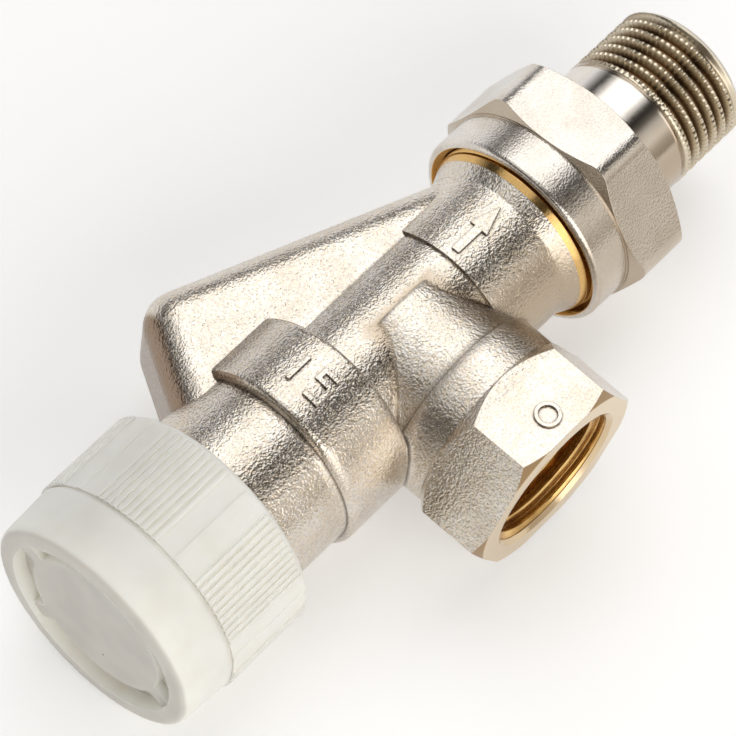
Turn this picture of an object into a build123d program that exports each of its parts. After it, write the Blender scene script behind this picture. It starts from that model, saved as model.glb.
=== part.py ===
from build123d import *
import os
from math import cos, radians, tan

# Frame: the main axis runs along X, with the cap at -X and the radiator tail at +X.
# The pipe socket opens towards -Y, and the origin is the centre of its thread's outer end.
# Stations along the main axis are counted from the axis of the pipe socket.

# Clearances
RUNNING_CLEARANCE = 0.05
SEATING_GAP = 0.1
UNION_SEAT_CLEARANCE = 0.65
CAP_TRAVEL_GAP = 0.3

# Most of a wall that the rounding of its edge, or a groove in it, may take
WALL_SHARE = 0.6

# Threads, over their crests
PIPE_THREAD_DIAMETER = 20.955
UNION_THREAD_DIAMETER = 26.441
HEAD_THREAD_DIAMETER = 30.0
THREAD_CHAMFER = 1.0

# Forged body, outside
INLET_REACH = 28.3
WAIST_RADIUS = 11.3
RING_SETBACK = 12.35
RING_LENGTH = 11.4
RING_RADIUS = 15.2
RING_SIDE_RADIUS = 14.2
NECK_LENGTH = 15.25
NECK_RADIUS = 13.2
HEAD_THREAD_LENGTH = 9.0
OUTLET_SETBACK = 9.1
OUTLET_LENGTH = 11.4
OUTLET_RADIUS = 11.8
FLARE_LENGTH = 3.0
UNION_THREAD_LENGTH = 8.6
FORGED_ROUNDING = 0.8
STEP_ROUNDING = 0.5

# Pipe socket branch
BOSS_RADIUS = 12.3
BOSS_LENGTH = 11.2
SOCKET_NECK_RADIUS = 13.35
SOCKET_ACROSS_FLATS = 27.0
SOCKET_HEX_LENGTH = 9.3
SOCKET_THREAD_LENGTH = 13.0
SOCKET_MOUTH_CHAMFER = 0.6
SOCKET_FACE_RADIUS = 14.0
HEX_CHAMFER_ANGLE = 30.0
HALF_HEXAGON_ANGLE = 30.0

# Side lobe that carries the passage round the seat
LOBE_THICKNESS = 17.6
LOBE_CORNER_SETBACK = 21.8
LOBE_CORNER_REACH = 26.2
LOBE_SIDE_ANGLE = 21.0
LOBE_END_ANGLE = 60.0
LOBE_FOOT_REACH = 6.0
LOBE_CORNER_ROUNDING = 5.0
LOBE_EDGE_ROUNDING = 4.8
LOBE_WALL = 3.4
LOBE_PASSAGE_HEIGHT = 9.6

# Waterways in the body
WATERWAY_RADIUS = 7.0
INLET_BORE_RADIUS = 6.0
INLET_BORE_END = 1.0
OUTLET_BORE_SETBACK = 11.0
SEAT_SETBACK = 11.0
SEAT_BORE_RADIUS = 5.5
SEAT_LIP_WIDTH = 1.5
SEAT_LIP_HEIGHT = 2.0
CHAMBER_RADIUS = 9.2
INSERT_THREAD_RADIUS = 10.0
INSERT_THREAD_LENGTH = 15.5

# Raised marks
MARK_HEIGHT = 0.35
ARROW_LENGTH = 9.0
ARROW_HEAD_LENGTH = 4.4
ARROW_HEAD_WIDTH = 2.9
ARROW_STEM_WIDTH = 1.2
NUMERAL_HEIGHT = 4.2
NUMERAL_WIDTH = 2.2
NUMERAL_SPACE = 1.8
NUMERAL_STROKE = 0.65
RING_MARK_RADIUS = 1.8
RING_MARK_STROKE = 0.5
RING_MARK_SETBACK = 3.6

# Insert
FLANGE_RADIUS = 12.5
FLANGE_THICKNESS = 1.2
INSERT_HEX_ACROSS_FLATS = 16.0
INSERT_HEX_LENGTH = 2.6
PIN_RADIUS = 1.75
GLAND_NUT_RADIUS = 6.0
GLAND_NUT_LENGTH = 4.3
GLAND_SLOT_WIDTH = 1.5
GLAND_SLOT_DEPTH = 1.2
GLAND_WASHER_THICKNESS = 0.8
GLAND_RING_SECTION = 1.78
PIN_GUIDE_LENGTH = 1.7
SPRING_CHAMBER_RADIUS = 6.5
INSERT_RING_SECTION = 1.9
INSERT_RING_GROOVE_WIDTH = 2.6
INSERT_RING_SETBACK = 2.0
INSERT_END_MARGIN = 0.2

# Spindle, spring and disc
CLOSING_TRAVEL = 3.0
SPINDLE_RADIUS = 2.5
SPINDLE_SETBACK = 1.5
CLIP_SETBACK = 1.0
CLIP_THICKNESS = 0.8
CLIP_RADIUS = 3.8
CLIP_GROOVE_DEPTH = 0.5
CLIP_MOUTH = 2.6
SPRING_WASHER_RADIUS = 5.6
SPRING_WASHER_THICKNESS = 0.8
SPRING_LENGTH = 8.0
SPRING_RADIUS = 4.2
SPRING_TURNS = 4.5
SPRING_WIRE = 0.8
SPRING_WIRE_SIDES = 8
GUIDE_BUSH_LENGTH = 4.0
STUD_RADIUS = 1.75
DISC_RADIUS = 7.4
DISC_THICKNESS = 3.0
CARRIER_WEB = 1.5
CARRIER_WALL = 1.0
CARRIER_RIM = 1.8
DISC_NUT_ACROSS_FLATS = 6.0
DISC_NUT_LENGTH = 2.0

# Protective cap
CAP_LENGTH = 22.55
CAP_BAND_LENGTH = 7.95
CAP_FRONT_RADIUS = 16.35
CAP_BAND_RADIUS = 16.75
CAP_SKIRT_RADIUS = 16.75
CAP_EDGE_ROUNDING = 1.2
CAP_GROOVE_WIDTH = 0.5
CAP_GROOVE_DEPTH = 0.3
CAP_ROOF = 1.5
CAP_DISC_RADIUS = 10.8
CAP_DISC_RECESS = 0.85
CAP_MOAT_RADIUS = 13.5
CAP_MOAT_DEPTH = 1.4
CAP_TAB_WIDTH = 2.6
CAP_TAB_ANGLES = (45, 112, 225, 292)
RIB_GROUPS = 6
RIBS_IN_GROUP = 11
RIB_PITCH_ANGLE = 3.4
RIB_GROUP_ANGLE = -10.0
RIB_WIDTH = 0.5
RIB_HEIGHT = 0.3
RIB_END_MARGIN = 0.9
PANEL_RIDGE_WIDTH = 1.1
PANEL_RIDGE_HEIGHT = 0.12

# Union nut and tailpiece
NUT_ACROSS_FLATS = 31.0
NUT_CORNER_ROUNDING = 3.4
NUT_HEX_LENGTH = 9.75
NUT_COLLAR_LENGTH = 5.85
NUT_COLLAR_WALL = 1.0
NUT_MOUTH_FLARE = 0.85
NUT_MOUTH_DEPTH = 1.3
NUT_BACK_WALL = 3.1
NUT_TURN_ANGLE = 24.0
GASKET_THICKNESS = 1.5
GASKET_BORE_RADIUS = 8.0
TAIL_FLANGE_THICKNESS = 2.4
TAIL_LENGTH = 23.2
TAIL_THREAD_LENGTH = 12.25
TAIL_GROOVE_WIDTH = 0.7
TAIL_GROOVE_DEPTH = 0.5
TAIL_SHANK_RADIUS = 10.4

# Stations of the body along the main axis
ring_rear = -RING_SETBACK
ring_front = ring_rear - RING_LENGTH
ring_middle = (ring_front + ring_rear) / 2
neck_front = ring_front - NECK_LENGTH
body_front = neck_front - HEAD_THREAD_LENGTH
outlet_end = OUTLET_SETBACK + OUTLET_LENGTH
flare_end = outlet_end + FLARE_LENGTH
union_end = flare_end + UNION_THREAD_LENGTH
chamber_front = body_front + INSERT_THREAD_LENGTH
seat_face = -SEAT_SETBACK
chamber_floor = seat_face + SEAT_LIP_HEIGHT

# Stations of the insert
housing_front = body_front - FLANGE_THICKNESS - INSERT_HEX_LENGTH
gland_washer_front = housing_front + GLAND_NUT_LENGTH
gland_ring_front = gland_washer_front + GLAND_WASHER_THICKNESS
gland_ring_room = GLAND_RING_SECTION + 2 * SEATING_GAP
pin_guide_front = gland_ring_front + gland_ring_room
spring_chamber_front = pin_guide_front + PIN_GUIDE_LENGTH
spindle_front = spring_chamber_front + SPINDLE_SETBACK
clip_front = spindle_front + CLIP_SETBACK
spring_washer_front = clip_front + CLIP_THICKNESS
spring_front = spring_washer_front + SPRING_WASHER_THICKNESS + SEATING_GAP
guide_bush_front = spring_front + SPRING_LENGTH + SEATING_GAP
guide_bush_rear = guide_bush_front + GUIDE_BUSH_LENGTH
housing_rear = guide_bush_rear + INSERT_END_MARGIN
insert_ring_rear = chamber_front - INSERT_RING_SETBACK
insert_ring_front = insert_ring_rear - INSERT_RING_GROOVE_WIDTH
pin_tip = housing_front - CLOSING_TRAVEL - 2 * SEATING_GAP
disc_face = seat_face - CLOSING_TRAVEL - 2 * SEATING_GAP
disc_back = disc_face - DISC_THICKNESS
carrier_back = disc_back - CARRIER_WEB
stud_end = disc_face + DISC_NUT_LENGTH

# Stations of the cap
cap_roof_front = pin_tip - CAP_ROOF
cap_front = cap_roof_front - CAP_DISC_RECESS
cap_moat_floor = cap_roof_front + CAP_MOAT_DEPTH
cap_band_rear = cap_front + CAP_BAND_LENGTH
cap_rear = cap_front + CAP_LENGTH
rib_front = cap_band_rear + CAP_GROOVE_WIDTH
rib_length = cap_rear - rib_front - RIB_END_MARGIN

# Stations of the union
tail_front = union_end + GASKET_THICKNESS
nut_shoulder = tail_front + TAIL_FLANGE_THICKNESS
nut_rear = nut_shoulder + NUT_BACK_WALL
nut_hex_front = nut_rear - NUT_HEX_LENGTH
nut_front = nut_hex_front - NUT_COLLAR_LENGTH
tail_end = nut_shoulder + TAIL_LENGTH
tail_thread_front = tail_end - TAIL_THREAD_LENGTH
tail_groove_front = tail_thread_front - TAIL_GROOVE_WIDTH


def hexagon_corner(across_flats):
    """Radius at the sharp corners of a hexagon."""
    return across_flats / 2 / cos(radians(HALF_HEXAGON_ANGLE))


# Radii that follow from the threads and fits
pipe_thread_radius = PIPE_THREAD_DIAMETER / 2
union_thread_radius = UNION_THREAD_DIAMETER / 2
head_thread_radius = HEAD_THREAD_DIAMETER / 2
union_bore_radius = union_thread_radius + RUNNING_CLEARANCE
tail_flange_radius = union_bore_radius - UNION_SEAT_CLEARANCE
nut_mouth_radius = union_bore_radius + NUT_MOUTH_FLARE
nut_collar_radius = nut_mouth_radius + NUT_COLLAR_WALL
cap_bore_radius = head_thread_radius + RUNNING_CLEARANCE
cap_pocket_radius = hexagon_corner(INSERT_HEX_ACROSS_FLATS) + CAP_TRAVEL_GAP
cap_rear_rounding = min(CAP_EDGE_ROUNDING, WALL_SHARE * (CAP_SKIRT_RADIUS - cap_bore_radius))
cap_front_rounding = min(CAP_EDGE_ROUNDING, WALL_SHARE * (CAP_FRONT_RADIUS - CAP_MOAT_RADIUS))
cap_groove_depth = min(CAP_GROOVE_DEPTH, WALL_SHARE * (CAP_BAND_RADIUS - cap_bore_radius))
pin_bore_radius = PIN_RADIUS + RUNNING_CLEARANCE
spindle_bore_radius = SPINDLE_RADIUS + RUNNING_CLEARANCE
stud_bore_radius = STUD_RADIUS + RUNNING_CLEARANCE
insert_radius = INSERT_THREAD_RADIUS - RUNNING_CLEARANCE
gland_bore_radius = GLAND_NUT_RADIUS + RUNNING_CLEARANCE
gland_ring_radius = pin_bore_radius + GLAND_RING_SECTION / 2
gland_pocket_radius = gland_ring_radius + GLAND_RING_SECTION / 2 + RUNNING_CLEARANCE
insert_ring_radius = INSERT_THREAD_RADIUS - RUNNING_CLEARANCE - INSERT_RING_SECTION / 2
insert_groove_radius = insert_ring_radius - INSERT_RING_SECTION / 2 - RUNNING_CLEARANCE
carrier_bore_radius = DISC_RADIUS + RUNNING_CLEARANCE
tail_bore_in_nut = TAIL_SHANK_RADIUS + 2 * RUNNING_CLEARANCE
socket_corner_radius = hexagon_corner(SOCKET_ACROSS_FLATS)
socket_neck_end = INLET_REACH - SOCKET_HEX_LENGTH - (socket_corner_radius - SOCKET_NECK_RADIUS)
hex_chamfer_slope = tan(radians(HEX_CHAMFER_ANGLE))

main_axis_reach = INLET_REACH - SOCKET_MOUTH_CHAMFER
MAIN_CENTRE = (0, main_axis_reach, 0)
MAIN_AXIS = Axis(MAIN_CENTRE, (1, 0, 0))
MAIN_PLANE = Plane(MAIN_CENTRE, x_dir=(1, 0, 0), z_dir=(0, -1, 0))
BRANCH_AXIS = Axis(MAIN_CENTRE, (0, -1, 0))
BRANCH_PLANE = Plane(MAIN_CENTRE, x_dir=(0, -1, 0), z_dir=(-1, 0, 0))


def half_section(plane, corners):
    """Closed half outline of a turned form: each corner is station, radius and rounding."""
    with BuildSketch(plane) as section:
        with BuildLine():
            FilletPolyline(
                *[(station, radius) for station, radius, rounding in corners],
                radius=[rounding for station, radius, rounding in corners],
                close=True,
            )
        make_face()
    return section.sketch


def tube_section(plane, front, rear, inner, outer):
    """Half outline of a plain ring."""
    return half_section(plane, [(front, inner, 0), (front, outer, 0), (rear, outer, 0), (rear, inner, 0)])


def cross_plane(station):
    """Plane across the main axis, with its x up and its z along the axis."""
    return Plane((station, main_axis_reach, 0), x_dir=(0, 0, 1), z_dir=(1, 0, 0))


def o_ring_section(centre, radius, thickness):
    """Round section of an O-ring about the main axis."""
    with BuildSketch(MAIN_PLANE) as section:
        with Locations((centre, radius)):
            Circle(thickness / 2)
    return section.sketch


# Side lobe: a flat wedge with rounded edges, drawn from the main axis outwards
lobe_tip_station = outlet_end - STEP_ROUNDING
lobe_tip_reach = LOBE_CORNER_REACH - (lobe_tip_station + LOBE_CORNER_SETBACK) * tan(radians(LOBE_SIDE_ANGLE))
lobe_foot_station = -LOBE_CORNER_SETBACK - (LOBE_CORNER_REACH - LOBE_FOOT_REACH) / tan(radians(LOBE_END_ANGLE))
LOBE_PLANE = Plane(MAIN_CENTRE)

with BuildPart() as side_lobe:
    with BuildSketch(LOBE_PLANE):
        with BuildLine():
            Polyline(
                (lobe_tip_station, 0),
                (lobe_tip_station, lobe_tip_reach),
                (-LOBE_CORNER_SETBACK, LOBE_CORNER_REACH),
                (lobe_foot_station, LOBE_FOOT_REACH),
                (lobe_foot_station, 0),
                close=True,
            )
        make_face()
    extrude(amount=LOBE_THICKNESS / 2, both=True)
    fillet(side_lobe.edges().filter_by(Axis.Z).sort_by(Axis.Y)[-1], LOBE_CORNER_ROUNDING)
    lobe_rims = [face.edges().sort_by(Axis.Y)[-3:] for face in side_lobe.faces().filter_by(Axis.Z)]
    fillet([edge for rim in lobe_rims for edge in rim], LOBE_EDGE_ROUNDING)

# Oval ring around the neck, taller than it is wide
with BuildPart() as forged_ring:
    with BuildSketch(cross_plane(ring_front)):
        Ellipse(RING_RADIUS, RING_SIDE_RADIUS)
    extrude(amount=RING_LENGTH)
    fillet(forged_ring.faces().filter_by(Axis.X).edges(), FORGED_ROUNDING)

# Hexagon of the pipe socket, with turned ends
with BuildPart() as socket_hexagon:
    with BuildSketch(Plane(MAIN_CENTRE, x_dir=(1, 0, 0), z_dir=(0, -1, 0))):
        RegularPolygon(socket_corner_radius, 6)
    extrude(amount=INLET_REACH)
    mouth_chamfer = (socket_corner_radius - SOCKET_FACE_RADIUS) * hex_chamfer_slope
    hex_turning = [
        (socket_neck_end, 0, 0),
        (socket_neck_end, SOCKET_NECK_RADIUS, 0),
        (INLET_REACH - SOCKET_HEX_LENGTH, socket_corner_radius, 0),
        (INLET_REACH - mouth_chamfer, socket_corner_radius, 0),
        (INLET_REACH, SOCKET_FACE_RADIUS, 0),
        (INLET_REACH, 0, 0),
    ]
    revolve(half_section(BRANCH_PLANE, hex_turning), BRANCH_AXIS, mode=Mode.INTERSECT)

# Flow arrow on the outlet, pointing to the radiator
with BuildPart() as flow_arrow:
    with BuildSketch(Plane(MAIN_CENTRE)):
        arrow_start = OUTLET_SETBACK + (OUTLET_LENGTH - ARROW_LENGTH) / 2
        arrow_neck = arrow_start + ARROW_LENGTH - ARROW_HEAD_LENGTH
        with BuildLine():
            Polyline(
                (arrow_start, -ARROW_STEM_WIDTH / 2),
                (arrow_neck, -ARROW_STEM_WIDTH / 2),
                (arrow_neck, -ARROW_HEAD_WIDTH / 2),
                (arrow_start + ARROW_LENGTH, 0),
                (arrow_neck, ARROW_HEAD_WIDTH / 2),
                (arrow_neck, ARROW_STEM_WIDTH / 2),
                (arrow_start, ARROW_STEM_WIDTH / 2),
                close=True,
            )
        make_face()
    extrude(amount=OUTLET_RADIUS + MARK_HEIGHT)
    arrow_shell = tube_section(
        MAIN_PLANE,
        OUTLET_SETBACK,
        outlet_end,
        OUTLET_RADIUS - MARK_HEIGHT,
        OUTLET_RADIUS + MARK_HEIGHT,
    )
    revolve(arrow_shell, MAIN_AXIS, mode=Mode.INTERSECT)

# Plain numerals 15 on the ring: the nominal bore in millimetres
with BuildPart() as bore_numerals:
    with BuildSketch(Plane((ring_middle, main_axis_reach, 0), x_dir=(0, -1, 0), z_dir=(0, 0, 1))):
        half_height = NUMERAL_HEIGHT / 2
        one_left = -NUMERAL_SPACE / 2 - NUMERAL_WIDTH / 2
        five_left = NUMERAL_SPACE / 2
        five_right = five_left + NUMERAL_WIDTH
        with BuildLine():
            Line((one_left, -half_height), (one_left, half_height))
            Polyline(
                (five_right, half_height),
                (five_left, half_height),
                (five_left, NUMERAL_STROKE),
                (five_right, NUMERAL_STROKE),
                (five_right, -half_height),
                (five_left, -half_height),
            )
        trace(line_width=NUMERAL_STROKE)
    extrude(amount=RING_RADIUS + MARK_HEIGHT)
    numeral_shell = tube_section(
        MAIN_PLANE,
        ring_front,
        ring_rear,
        RING_RADIUS - MARK_HEIGHT,
        RING_RADIUS + MARK_HEIGHT,
    )
    revolve(numeral_shell, MAIN_AXIS, mode=Mode.INTERSECT)

# Forged body, with the waterways, the seat and the three threaded ends
stem_outline = [
    (body_front, 0, 0),
    (body_front, head_thread_radius - THREAD_CHAMFER, 0),
    (body_front + THREAD_CHAMFER, head_thread_radius, 0),
    (neck_front - THREAD_CHAMFER, head_thread_radius, 0),
    (neck_front, NECK_RADIUS, 0),
    (ring_middle, NECK_RADIUS, 0),
    (ring_middle, WAIST_RADIUS, 0),
    (OUTLET_SETBACK, WAIST_RADIUS, 0),
    (OUTLET_SETBACK, OUTLET_RADIUS, 0),
    (outlet_end, OUTLET_RADIUS, STEP_ROUNDING),
    (flare_end, union_thread_radius, STEP_ROUNDING),
    (union_end - THREAD_CHAMFER, union_thread_radius, 0),
    (union_end, union_thread_radius - THREAD_CHAMFER, 0),
    (union_end, 0, 0),
]
branch_outline = [
    (0, 0, 0),
    (0, BOSS_RADIUS, 0),
    (BOSS_LENGTH, BOSS_RADIUS, 0),
    (BOSS_LENGTH, SOCKET_NECK_RADIUS, STEP_ROUNDING),
    (socket_neck_end, SOCKET_NECK_RADIUS, 0),
    (socket_neck_end, 0, 0),
]
insert_bore = [
    (body_front, 0, 0),
    (body_front, INSERT_THREAD_RADIUS, 0),
    (chamber_front, INSERT_THREAD_RADIUS, 0),
    (chamber_front, CHAMBER_RADIUS, 0),
    (chamber_floor, CHAMBER_RADIUS, 0),
    (chamber_floor, SEAT_BORE_RADIUS + SEAT_LIP_WIDTH, 0),
    (seat_face, SEAT_BORE_RADIUS + SEAT_LIP_WIDTH, 0),
    (seat_face, SEAT_BORE_RADIUS, 0),
    (0, SEAT_BORE_RADIUS, 0),
    (0, 0, 0),
]
socket_depth = INLET_REACH - SOCKET_THREAD_LENGTH
socket_bore = [
    (-INLET_BORE_END, 0, 0),
    (-INLET_BORE_END, INLET_BORE_RADIUS, 0),
    (socket_depth, INLET_BORE_RADIUS, 0),
    (socket_depth, pipe_thread_radius, 0),
    (INLET_REACH - SOCKET_MOUTH_CHAMFER, pipe_thread_radius, 0),
    (INLET_REACH, pipe_thread_radius + SOCKET_MOUTH_CHAMFER, 0),
    (INLET_REACH, 0, 0),
]
lobe_wall_drop = LOBE_WALL / cos(radians(LOBE_SIDE_ANGLE))
passage_end = OUTLET_BORE_SETBACK + WATERWAY_RADIUS / 2
passage_corner_station = -LOBE_CORNER_SETBACK + LOBE_WALL / 2
passage_outer_slope = tan(radians(LOBE_SIDE_ANGLE))


def passage_reach(station):
    """Outer wall of the passage, one wall thickness inside the lobe's side."""
    return LOBE_CORNER_REACH - (station + LOBE_CORNER_SETBACK) * passage_outer_slope - lobe_wall_drop


with BuildPart() as valve_body:
    revolve(half_section(MAIN_PLANE, stem_outline), MAIN_AXIS)
    revolve(half_section(BRANCH_PLANE, branch_outline), BRANCH_AXIS)
    add(socket_hexagon.part)
    add(forged_ring.part)
    add(side_lobe.part)
    add(flow_arrow.part)
    add(bore_numerals.part)
    ring_mark_reach = RING_MARK_SETBACK - SOCKET_MOUTH_CHAMFER
    with BuildSketch(Plane((0, ring_mark_reach, SOCKET_ACROSS_FLATS / 2))):
        Circle(RING_MARK_RADIUS)
        Circle(RING_MARK_RADIUS - RING_MARK_STROKE, mode=Mode.SUBTRACT)
    extrude(amount=MARK_HEIGHT)
    revolve(half_section(MAIN_PLANE, insert_bore), MAIN_AXIS, mode=Mode.SUBTRACT)
    outlet_bore = tube_section(MAIN_PLANE, OUTLET_BORE_SETBACK, union_end, 0, WATERWAY_RADIUS)
    revolve(outlet_bore, MAIN_AXIS, mode=Mode.SUBTRACT)
    revolve(half_section(BRANCH_PLANE, socket_bore), BRANCH_AXIS, mode=Mode.SUBTRACT)
    with BuildSketch(LOBE_PLANE):
        with BuildLine():
            Polyline(
                (passage_corner_station, CHAMBER_RADIUS / 2),
                (chamber_floor, CHAMBER_RADIUS - SEAT_LIP_WIDTH),
                (OUTLET_BORE_SETBACK, WATERWAY_RADIUS / 2),
                (passage_end, WATERWAY_RADIUS / 2),
                (passage_end, passage_reach(passage_end)),
                (passage_corner_station, passage_reach(passage_corner_station)),
                close=True,
            )
        make_face()
    extrude(amount=LOBE_PASSAGE_HEIGHT / 2, both=True, mode=Mode.SUBTRACT)

# Insert housing, screwed into the neck with a flange on its end face
with BuildPart() as insert_housing:
    housing_outline = [
        (body_front - FLANGE_THICKNESS, 0, 0),
        (body_front - FLANGE_THICKNESS, FLANGE_RADIUS, 0),
        (body_front, FLANGE_RADIUS, 0),
        (body_front, insert_radius, 0),
        (insert_ring_front, insert_radius, 0),
        (insert_ring_front, insert_groove_radius, 0),
        (insert_ring_rear, insert_groove_radius, 0),
        (insert_ring_rear, insert_radius, 0),
        (chamber_front - SEATING_GAP, insert_radius, 0),
        (chamber_front - SEATING_GAP, CHAMBER_RADIUS - RUNNING_CLEARANCE, 0),
        (housing_rear, CHAMBER_RADIUS - RUNNING_CLEARANCE, 0),
        (housing_rear, 0, 0),
    ]
    revolve(half_section(MAIN_PLANE, housing_outline), MAIN_AXIS)
    with BuildSketch(cross_plane(housing_front)):
        RegularPolygon(INSERT_HEX_ACROSS_FLATS / 2, 6, major_radius=False)
    extrude(amount=INSERT_HEX_LENGTH)
    housing_bore = [
        (housing_front, 0, 0),
        (housing_front, gland_bore_radius, 0),
        (gland_ring_front, gland_bore_radius, 0),
        (gland_ring_front, gland_pocket_radius, 0),
        (pin_guide_front, gland_pocket_radius, 0),
        (pin_guide_front, pin_bore_radius, 0),
        (spring_chamber_front, pin_bore_radius, 0),
        (spring_chamber_front, SPRING_CHAMBER_RADIUS, 0),
        (housing_rear, SPRING_CHAMBER_RADIUS, 0),
        (housing_rear, 0, 0),
    ]
    revolve(half_section(MAIN_PLANE, housing_bore), MAIN_AXIS, mode=Mode.SUBTRACT)

with BuildPart() as insert_o_ring:
    insert_ring_centre = (insert_ring_front + insert_ring_rear) / 2
    revolve(o_ring_section(insert_ring_centre, insert_ring_radius, INSERT_RING_SECTION), MAIN_AXIS)

# Gland: a slotted nut over a washer and the O-ring that seals the pin
with BuildPart() as gland_nut:
    gland_ring = tube_section(MAIN_PLANE, housing_front, gland_washer_front, pin_bore_radius, GLAND_NUT_RADIUS)
    revolve(gland_ring, MAIN_AXIS)
    with BuildSketch(cross_plane(housing_front)):
        Rectangle(GLAND_SLOT_WIDTH, 3 * GLAND_NUT_RADIUS)
    extrude(amount=GLAND_SLOT_DEPTH, mode=Mode.SUBTRACT)

with BuildPart() as gland_washer:
    washer = tube_section(MAIN_PLANE, gland_washer_front, gland_ring_front, pin_bore_radius, GLAND_NUT_RADIUS)
    revolve(washer, MAIN_AXIS)

with BuildPart() as gland_o_ring:
    gland_ring_centre = (gland_ring_front + pin_guide_front) / 2
    revolve(o_ring_section(gland_ring_centre, gland_ring_radius, GLAND_RING_SECTION), MAIN_AXIS)

with BuildPart() as guide_bush:
    bush = tube_section(
        MAIN_PLANE,
        guide_bush_front,
        guide_bush_rear,
        spindle_bore_radius,
        SPRING_CHAMBER_RADIUS - RUNNING_CLEARANCE,
    )
    revolve(bush, MAIN_AXIS)

# Pressure pin: it stands out of the gland and rests on the spindle
with BuildPart() as pressure_pin:
    pin_outline = [
        (pin_tip, 0, 0),
        (pin_tip, PIN_RADIUS, PIN_RADIUS / 2),
        (spindle_front, PIN_RADIUS, 0),
        (spindle_front, 0, 0),
    ]
    revolve(half_section(MAIN_PLANE, pin_outline), MAIN_AXIS)

with BuildPart() as spindle:
    spindle_outline = [
        (spindle_front, 0, 0),
        (spindle_front, SPINDLE_RADIUS, 0),
        (clip_front, SPINDLE_RADIUS, 0),
        (clip_front, SPINDLE_RADIUS - CLIP_GROOVE_DEPTH, 0),
        (spring_washer_front, SPINDLE_RADIUS - CLIP_GROOVE_DEPTH, 0),
        (spring_washer_front, SPINDLE_RADIUS, 0),
        (carrier_back, SPINDLE_RADIUS, 0),
        (carrier_back, STUD_RADIUS, 0),
        (stud_end, STUD_RADIUS, 0),
        (stud_end, 0, 0),
    ]
    revolve(half_section(MAIN_PLANE, spindle_outline), MAIN_AXIS)

# Open clip in the spindle's groove, and the washer that the spring pushes on it
with BuildPart() as spindle_clip:
    clip_bore = SPINDLE_RADIUS - CLIP_GROOVE_DEPTH + RUNNING_CLEARANCE
    revolve(tube_section(MAIN_PLANE, clip_front, spring_washer_front, clip_bore, CLIP_RADIUS), MAIN_AXIS)
    with BuildSketch(cross_plane(clip_front)):
        with Locations((CLIP_RADIUS, 0)):
            Rectangle(2 * CLIP_RADIUS, CLIP_MOUTH)
    extrude(amount=CLIP_THICKNESS, mode=Mode.SUBTRACT)

with BuildPart() as spring_washer:
    spring_washer_rear = spring_washer_front + SPRING_WASHER_THICKNESS
    spring_seat = tube_section(
        MAIN_PLANE,
        spring_washer_front,
        spring_washer_rear,
        spindle_bore_radius,
        SPRING_WASHER_RADIUS,
    )
    revolve(spring_seat, MAIN_AXIS)

with BuildPart() as return_spring:
    coil_height = SPRING_LENGTH - SPRING_WIRE
    with BuildLine() as coil:
        Helix(
            coil_height / SPRING_TURNS,
            coil_height,
            SPRING_RADIUS,
            center=(spring_front + SPRING_WIRE / 2, main_axis_reach, 0),
            direction=(1, 0, 0),
        )
    with BuildSketch(Plane(coil.line @ 0, z_dir=coil.line % 0)):
        RegularPolygon(SPRING_WIRE / 2, SPRING_WIRE_SIDES)
    sweep(path=coil.line, is_frenet=True)

# Disc carrier, rubber disc and the nut that clamps them on the spindle
with BuildPart() as disc_carrier:
    carrier_outer = carrier_bore_radius + CARRIER_WALL
    carrier_outline = [
        (carrier_back, stud_bore_radius, 0),
        (carrier_back, carrier_outer, 0),
        (disc_back + CARRIER_RIM, carrier_outer, 0),
        (disc_back + CARRIER_RIM, carrier_bore_radius, 0),
        (disc_back, carrier_bore_radius, 0),
        (disc_back, stud_bore_radius, 0),
    ]
    revolve(half_section(MAIN_PLANE, carrier_outline), MAIN_AXIS)

with BuildPart() as seal_disc:
    revolve(tube_section(MAIN_PLANE, disc_back, disc_face, stud_bore_radius, DISC_RADIUS), MAIN_AXIS)

with BuildPart() as disc_nut:
    with BuildSketch(cross_plane(disc_face)):
        RegularPolygon(DISC_NUT_ACROSS_FLATS / 2, 6, major_radius=False)
        Circle(stud_bore_radius, mode=Mode.SUBTRACT)
    extrude(amount=DISC_NUT_LENGTH)

# Protective cap: a moulded cup with a tabbed front disc and ribbed grip
rib_span = (RIBS_IN_GROUP - 1) * RIB_PITCH_ANGLE
group_angles = [RIB_GROUP_ANGLE + group * 360 / RIB_GROUPS for group in range(RIB_GROUPS)]
rib_angles = [
    group_angle - rib_span / 2 + rib * RIB_PITCH_ANGLE
    for group_angle in group_angles
    for rib in range(RIBS_IN_GROUP)
]
panel_angles = [group_angle + 180 / RIB_GROUPS for group_angle in group_angles]

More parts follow.
